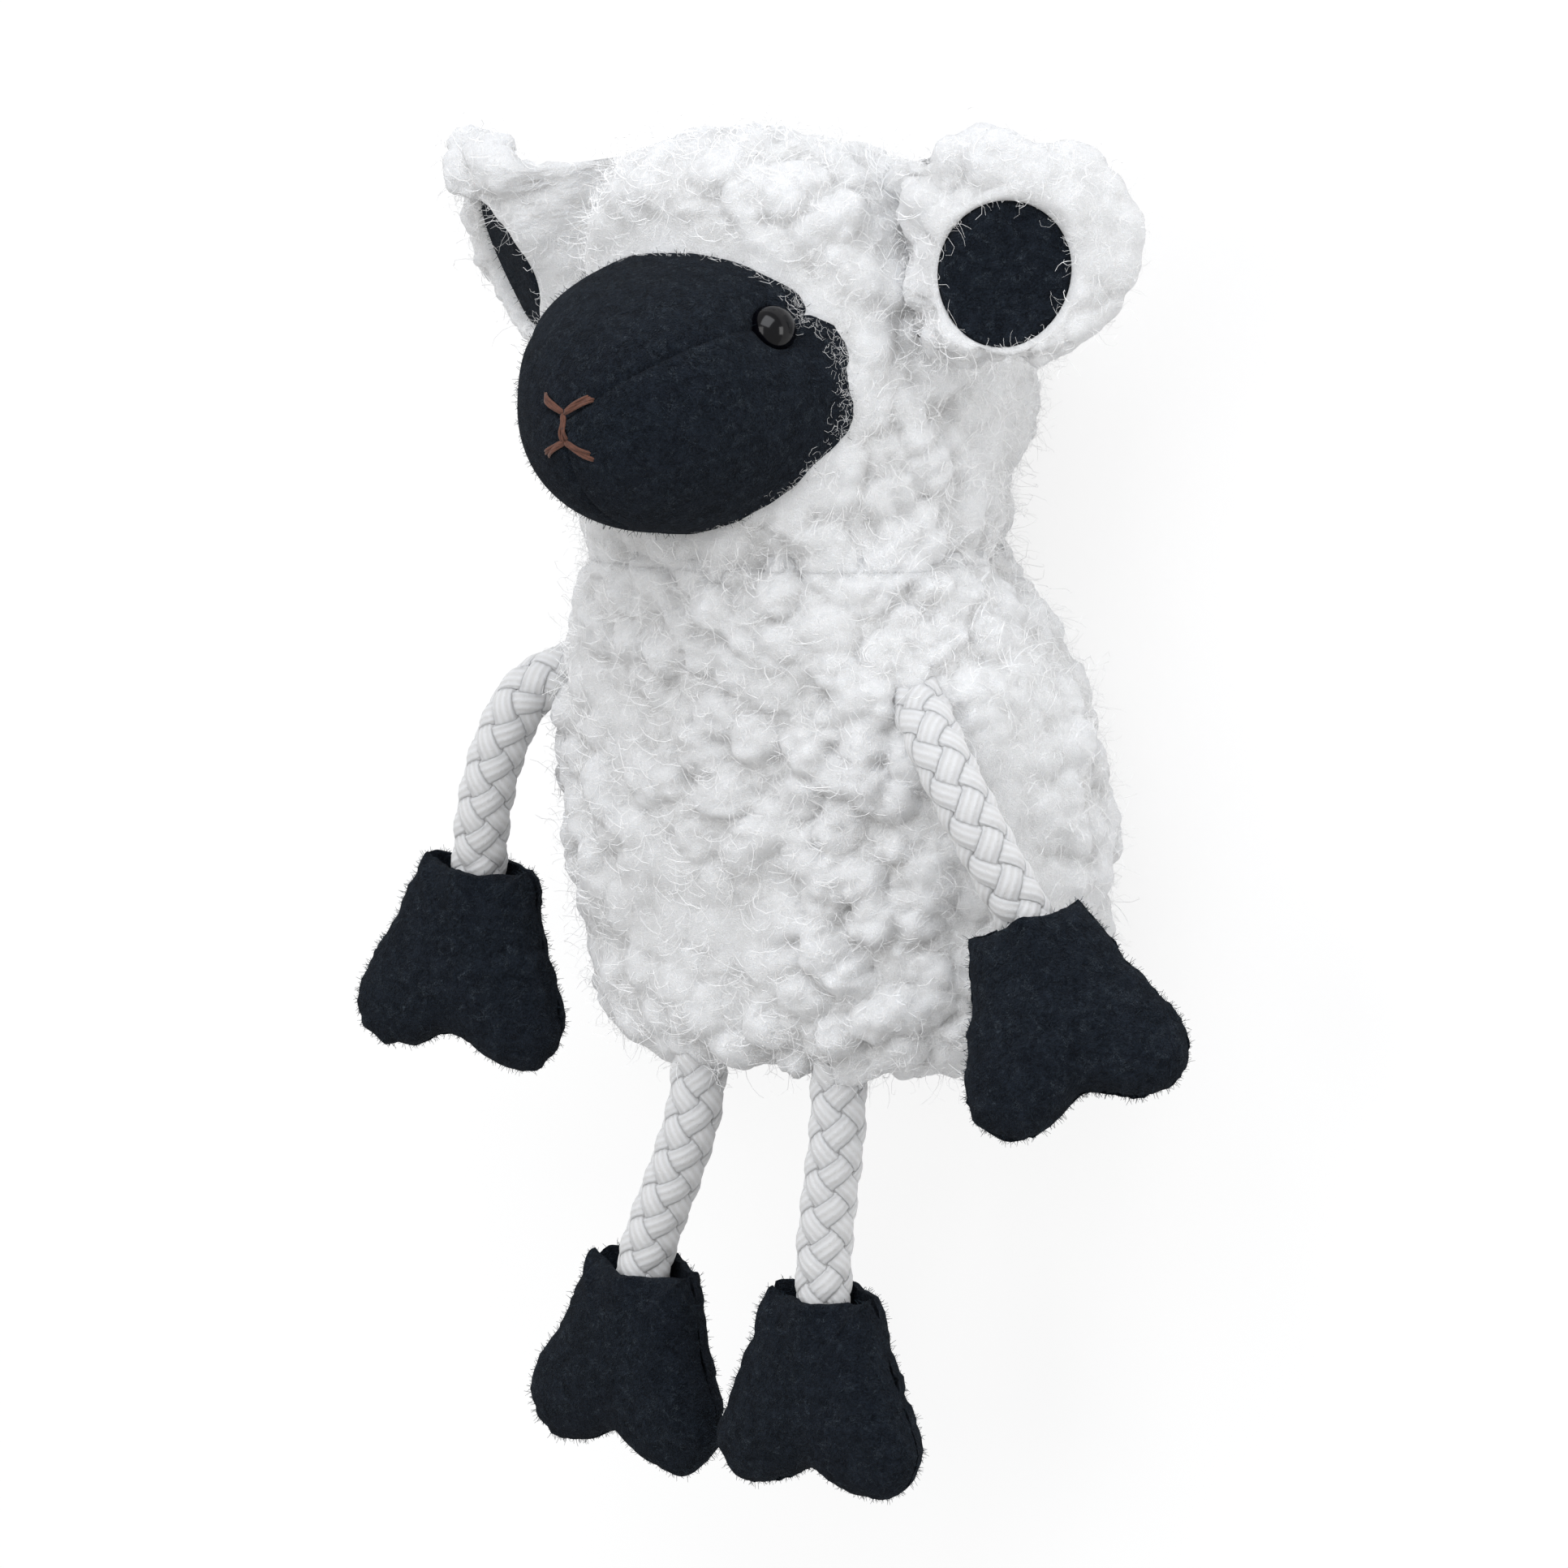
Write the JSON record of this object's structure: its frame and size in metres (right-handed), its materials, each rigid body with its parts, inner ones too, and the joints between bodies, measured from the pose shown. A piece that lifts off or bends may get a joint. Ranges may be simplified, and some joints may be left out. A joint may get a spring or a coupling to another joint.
{
  "type": "finger puppet",
  "caption": "Woolly sheep finger puppet: an open fleece sleeve for a finger, a stuffed head with a felt face and lined ears, and braided cord limbs ending in felt hooves.",
  "frame": {"origin": "on the puppet's centre line, on the table under the middle of the sleeve's back", "axes": "+Y along the body towards the head, +Z the way the puppet looks, +X towards the puppet's own left"},
  "size_m": [0.1043, 0.1445, 0.0656],
  "materials": {
    "fleece": "curly pile",
    "stuffing": "loose fibre",
    "felt": "matte felt",
    "eye_bead": "glossy",
    "mouth_thread": "twisted thread",
    "limb_cord": "braided"
  },
  "bodies": {
    "root": {"body_fleece": "fleece", "head_fleece": "fleece", "ear_left_fleece": "fleece", "ear_right_fleece": "fleece", "head_stuffing": "stuffing", "face_gusset": "felt", "face_cheek_left": "felt", "face_cheek_right": "felt", "ear_left_lining": "felt", "ear_right_lining": "felt", "hand_left_front_panel": "felt", "hand_left_back_panel": "felt", "hand_right_front_panel": "felt", "hand_right_back_panel": "felt", "foot_left_front_panel": "felt", "foot_left_back_panel": "felt", "foot_right_front_panel": "felt", "foot_right_back_panel": "felt", "eye_left": "eye_bead", "eye_right": "eye_bead", "mouth_stitches": "mouth_thread", "arm_left_cord": "limb_cord", "arm_right_cord": "limb_cord", "leg_left_cord": "limb_cord", "leg_right_cord": "limb_cord"}
  },
  "joints": []
}
